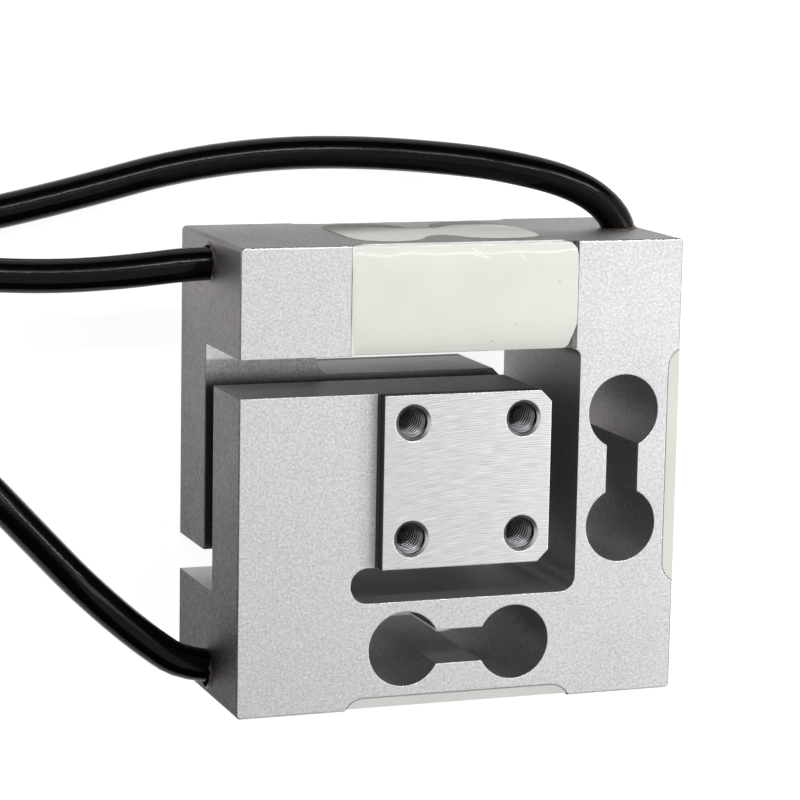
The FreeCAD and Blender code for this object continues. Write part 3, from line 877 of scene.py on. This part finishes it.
def cast_fill(name, to_face, node):
    """One fill: its surface, the recess's floor under it and a rim between them."""
    points = []
    faces = []
    rows = []
    for j in range(fill_along + 1):
        upper = []
        lower = []
        y_share = drawn(j / fill_along)
        right = fill_right(fill_y[0] + (fill_y[1] - fill_y[0]) * y_share)
        for i in range(fill_across + 1):
            x = fill_x[0] + (right - fill_x[0]) * drawn(i / fill_across)
            wander = noise.noise(Vector((x / edge_wander[1], 0.0, 2.0)))
            high_y = fill_y[1] - edge_wander[0] + edge_wander[0] * wander
            y = fill_y[0] + (high_y - fill_y[0]) * y_share
            upper.append(len(points))
            points.append((x, y, to_face(fill_surface(x, y, high_y))))
            lower.append(len(points))
            points.append((x, y, to_face(recess_level(x))))
        rows.append((upper, lower))
    for (upper, lower), (next_upper, next_lower) in zip(rows, rows[1:]):
        for i in range(fill_across):
            faces.append((upper[i], upper[i + 1], next_upper[i + 1], next_upper[i]))
            faces.append((lower[i], next_lower[i], next_lower[i + 1], lower[i + 1]))
    rims = []
    for surface in (0, 1):
        side = [row[surface] for row in rows]
        left_end = [row[0] for row in side]
        right_end = [row[-1] for row in reversed(side[:-1])]
        rims.append(left_end + side[-1][1:] + right_end + side[0][-2:0:-1])
    bridge(faces, *rims)
    make_piece(name, points, faces, potting, (node,))


cast_fill("cast_fill_front", lambda z: z, "potting_front")
cast_fill("cast_fill_rear", lambda z: height - z, "potting_rear")

# Brown adhesive that ran into the opening beside the front fill
trace = ((15.38, 27.7), (15.38, 29.92), (14.8, 29.92))
trace_z = (27.6, 28.15)
trace_points = [(x, y, z) for z in trace_z for x, y in trace]
trace_faces = [(0, 2, 1), (3, 4, 5)]
bridge(trace_faces, (0, 1, 2), (3, 4, 5))
make_piece("adhesive_trace", trace_points, trace_faces, adhesive)

# Skin of clean compound over the two long lobes of the top beam, wiped level with the face, in X and Z
skin_outline = (
    (-12.4, 8.2), (-12.8, 13.4), (-12.9, 18.4), (-12.6, 21.5), (-11.8, 23.3), (-10.2, 24.3), (-8.3, 24.6),
    (-6.6, 24.3), (-5.2, 23.7), (-4.0, 22.6), (-2.8, 20.5), (-1.6, 19.2), (-0.6, 18.7), (0.4, 18.9),
    (1.5, 19.8), (1.9, 20.7), (2.5, 21.8), (3.6, 22.7), (4.9, 23.4), (6.4, 23.7), (8.0, 23.7),
    (9.8, 23.5), (11.2, 22.9), (12.5, 21.6), (13.0, 19.4), (13.2, 17.2), (13.2, 14.6), (13.1, 11.9),
    (12.7, 10.0), (11.9, 9.0), (10.7, 8.2), (9.3, 8.0), (7.6, 8.0), (5.9, 8.1), (4.4, 8.9),
    (3.1, 10.1), (1.9, 11.0), (1.0, 11.3), (-0.1, 11.3), (-1.0, 11.0), (-2.5, 10.9), (-4.5, 9.6),
    (-7.0, 8.2), (-9.5, 7.4), (-11.5, 7.4),
)
clean_skin, shaded_skin = 0.03, 0.02


def level_skin(name, outline, thickness, material):
    """A thin skin of compound on the top face, inside an outline in X and Z."""
    points = [(x, y, z) for y in (half_side, half_side + thickness) for x, z in outline]
    under = tuple(range(len(outline)))
    over = tuple(k + len(outline) for k in under)
    faces = [under, over[::-1]]
    bridge(faces, under, over)
    make_piece(name, points, faces, material)


level_skin("potting_skin_top", skin_outline, clean_skin, wiped_potting)

# Under it a grey skin of painted shade closes the whole cut-out: both long lobes and their neck, a little
# past their edges
lobe_x, lobe_z, lobe_r, neck_z = 7.5, 4.9, 5.75, 4.25
lobe_ends = ((lobe_x, lobe_z, 180), (lobe_x, -lobe_z, 0), (-lobe_x, -lobe_z, 0), (-lobe_x, lobe_z, 180))
bend_step = 10
shaded_outline = []
for x, z, first in lobe_ends:
    arc = [math.radians(first - turned) for turned in range(0, 181, bend_step)]
    bend = [(x + lobe_r * math.cos(a), middle_z + z + lobe_r * math.sin(a)) for a in arc]
    mouth = (x - math.copysign(lobe_r, x), middle_z + math.copysign(neck_z, z))
    shaded_outline += [mouth] + bend if x * z > 0 else bend + [mouth]
level_skin("shaded_skin_top", shaded_outline, shaded_skin, shaded_potting)


# Adhesive round each cable: a ring in the hole that climbs the jacket unevenly
seal_steps = 48
seal_climb, climb_change, seal_smear = 0.35, 0.45, 0.9
seal_waves = 1.7  # how often the edge changes round the cable


def adhesive_ring(name, mouth, inward):
    """The adhesive of one cable, from its depth in the hole to its uneven edges on jacket and face."""
    mouth, inward = Vector(mouth), Vector(inward)
    across = Vector((0.0, 0.0, 1.0))
    up = inward.cross(across)
    points = []
    faces = []
    first = before = None
    for k in range(seal_steps):
        angle = math.tau * k / seal_steps
        out = up * math.cos(angle) + across * math.sin(angle)
        uneven = noise.noise(out * seal_waves + mouth)
        climb = seal_climb + climb_change * uneven
        reach = hole_r + max(0.0, seal_smear * uneven)
        profile = (
            (seal_depth, cable_d / 2),
            (-climb, cable_d / 2),
            (-0.5 * climb, cable_d / 2 + 0.12),
            (-0.10, hole_r - 0.05),
            (-0.02, reach),
            (0.05, hole_r),
            (seal_depth, hole_r),
        )
        row = []
        for depth, radius in profile:
            row.append(len(points))
            points.append(mouth + inward * depth + out * radius)
        if before:
            bridge(faces, before, row)
        first = first or row
        before = row
    bridge(faces, before, first)
    make_piece(f"adhesive_{name}", points, faces, adhesive, (f"cable_seal_{name}",))


hole_inward = {"top": (1.0, 0.0, 0.0), "column": (0.0, -1.0, 0.0), "bottom": (1.0, 0.0, 0.0)}
for name, inward in hole_inward.items():
    adhesive_ring(name, cable_exits[name], inward)


# Locking heads on the two coil ties
head_size = (5.4, 4.8, 1.8)
head_round = 0.4
head_base = 28.0
head_r = 28.0  # from the middle of the coils
for number, degrees in ((1, 145.0), (2, 325.0)):
    mesh = bpy.data.meshes.new(f"tie_head_{number}")
    shape = bmesh.new()
    bmesh.ops.create_cube(shape, size=1.0)
    bmesh.ops.scale(shape, vec=Vector(head_size) * MM, verts=shape.verts)
    bmesh.ops.bevel(
        shape, geom=shape.edges[:], offset=head_round * MM, segments=3, affect="EDGES", profile=0.5
    )
    place = Vector(coil_point(head_r, degrees, head_base + head_size[2] / 2)) * MM
    turn = Matrix.Rotation(math.radians(degrees), 4, "Z")
    bmesh.ops.transform(shape, matrix=Matrix.Translation(place) @ turn, verts=shape.verts)
    shape.to_mesh(mesh)
    shape.free()
    mesh.shade_smooth()
    mesh.materials.append(nylon)
    head = bpy.data.objects.new(f"tie_head_{number}", mesh)
    scene.collection.objects.link(head)
    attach(head, "root")


# Floor and light

def look_factor(material):
    """1 for what the camera, a reflection or a clear piece sees, and 0 for light that falls on the object."""
    path = add(material, "ShaderNodeLightPath").outputs
    seen = path["Is Camera Ray"]
    for ray in ("Is Glossy Ray", "Is Transmission Ray"):
        seen = add(material, "ShaderNodeMath", {"operation": "MAXIMUM"}, {0: seen, 1: path[ray]}).outputs[0]
    return seen


floor_glow = 0.90
shadow_glow = 0.22
shadow_box = ((-21.0, 27.0), (-29.0, 8.0))  # where the paper's glow is lowered as a painted shadow under the body, in X and in Y
shadow_fade = 2.0


def lit_floor(material):
    """Strength of the white paper's glow, lowered under the body as a painted shadow."""
    place = add(material, "ShaderNodeTexCoord").outputs["Object"]
    where = add(material, "ShaderNodeSeparateXYZ", links={0: place}).outputs
    inside = {}
    for socket, axis, (low, high) in zip((0, 1), ("X", "Y"), shadow_box):
        off = add(
            material, "ShaderNodeMath", {"operation": "SUBTRACT", 1: (low + high) / 2 * MM}, {0: where[axis]}
        ).outputs[0]
        off = add(material, "ShaderNodeMath", {"operation": "ABSOLUTE"}, {0: off}).outputs[0]
        reach = (high - low) / 2 * MM
        inside[socket] = add(
            material,
            "ShaderNodeMapRange",
            {"From Min": reach - shadow_fade * MM, "From Max": reach, "To Min": 1.0, "To Max": 0.0},
            {"Value": off},
        ).outputs[0]
    dark = add(material, "ShaderNodeMath", {"operation": "MULTIPLY"}, inside).outputs[0]
    glow = {"To Min": floor_glow, "To Max": shadow_glow}
    return add(material, "ShaderNodeMapRange", glow, {"Value": dark}).outputs[0]


floor_edge = 3.0  # metres
floor_mesh = bpy.data.meshes.new("floor")
floor_corners = [(x * floor_edge, y * floor_edge, 0) for x, y in ((-1, -1), (1, -1), (1, 1), (-1, 1))]
floor_mesh.from_pydata(floor_corners, [], [(0, 1, 2, 3)])
floor = bpy.data.objects.new("floor", floor_mesh)
# White paper: matt and even; it lights the object as paper does, and shows itself as a white backdrop whose
# glow carries a painted shadow under the body
floor_paper = bpy.data.materials.new("white_paper_floor")
floor_paper.use_nodes = True
floor_paper.node_tree.nodes.clear()
plain = add(floor_paper, "ShaderNodeBsdfDiffuse", {"Color": linear("#E4E4E4")})
pale = add(floor_paper, "ShaderNodeBsdfDiffuse", {"Color": linear("#9C9C9C")})
glow = add(
    floor_paper,
    "ShaderNodeEmission",
    {"Color": linear("#FFFFFF")},
    {"Strength": lit_floor(floor_paper)},
)
white = add(floor_paper, "ShaderNodeAddShader", links={0: pale.outputs[0], 1: glow.outputs[0]})
mixed = add(
    floor_paper,
    "ShaderNodeMixShader",
    links={0: look_factor(floor_paper), 1: plain.outputs[0], 2: white.outputs[0]},
)
add(floor_paper, "ShaderNodeOutputMaterial", links={"Surface": mixed.outputs[0]})
floor_mesh.materials.append(floor_paper)
scene.collection.objects.link(floor)

world_fill = 0.40
world = bpy.data.worlds.new("studio")
scene.world = world
world.use_nodes = True
world.node_tree.nodes.clear()
shown = add(world, "ShaderNodeBackground", {"Color": linear("#FFFFFF"), "Strength": 1.0})
fill = add(world, "ShaderNodeBackground", {"Color": linear("#FFFFFF"), "Strength": world_fill})
sky = add(
    world,
    "ShaderNodeMixShader",
    links={0: look_factor(world), 1: fill.outputs[0], 2: shown.outputs[0]},
)
add(world, "ShaderNodeOutputWorld", links={"Surface": sky.outputs[0]})


def softbox(name, place, width, depth, power):
    """A rectangular lamp aimed at the origin, its width laid along the cables; metres and watts."""
    lamp = bpy.data.lights.new(name, "AREA")
    lamp.shape = "RECTANGLE"
    lamp.size = width
    lamp.size_y = depth
    lamp.energy = power
    piece = bpy.data.objects.new(name, lamp)
    back = Vector(place).normalized()
    right = (Vector((1.0, 0.0, 0.0)) - back * back.x).normalized()
    turned = Matrix((right, back.cross(right), back)).transposed().to_4x4()
    piece.matrix_world = Matrix.Translation(place) @ turned
    scene.collection.objects.link(piece)


softbox("key_softbox", (0.15, 0.34, 0.48), 0.34, 0.045, 1.3)
softbox("side_softbox", (-0.17, 0.34, 0.48), 0.22, 0.035, 0.5)
softbox("edge_lamp", (0.62, -0.08, 0.43), 0.03, 0.30, 1.0)
softbox("fill_softbox", (0.56, -0.08, 0.72), 0.28, 0.40, 1.4)
softbox("strip_lamp", (0.304, 0.235, 0.81), 0.55, 0.02, 0.35)

# Black cards above and below the sensor, outside the picture, that darken what faces up and down
felt = mottled("black_felt_card", "#0C0C0C", "#161616", 2.0, {"Roughness": 0.9})
card_half = 0.35  # metres
for name, y, top in (("shade_card_below", -0.20, 0.26), ("shade_card_above", 0.24, 0.20)):
    card_mesh = bpy.data.meshes.new(name)
    card_corners = [(-card_half, y, 0.0), (card_half, y, 0.0), (card_half, y, top), (-card_half, y, top)]
    card_mesh.from_pydata(card_corners, [], [(0, 1, 2, 3)])
    card_mesh.materials.append(felt)
    card = bpy.data.objects.new(name, card_mesh)
    card.visible_camera = False
    scene.collection.objects.link(card)
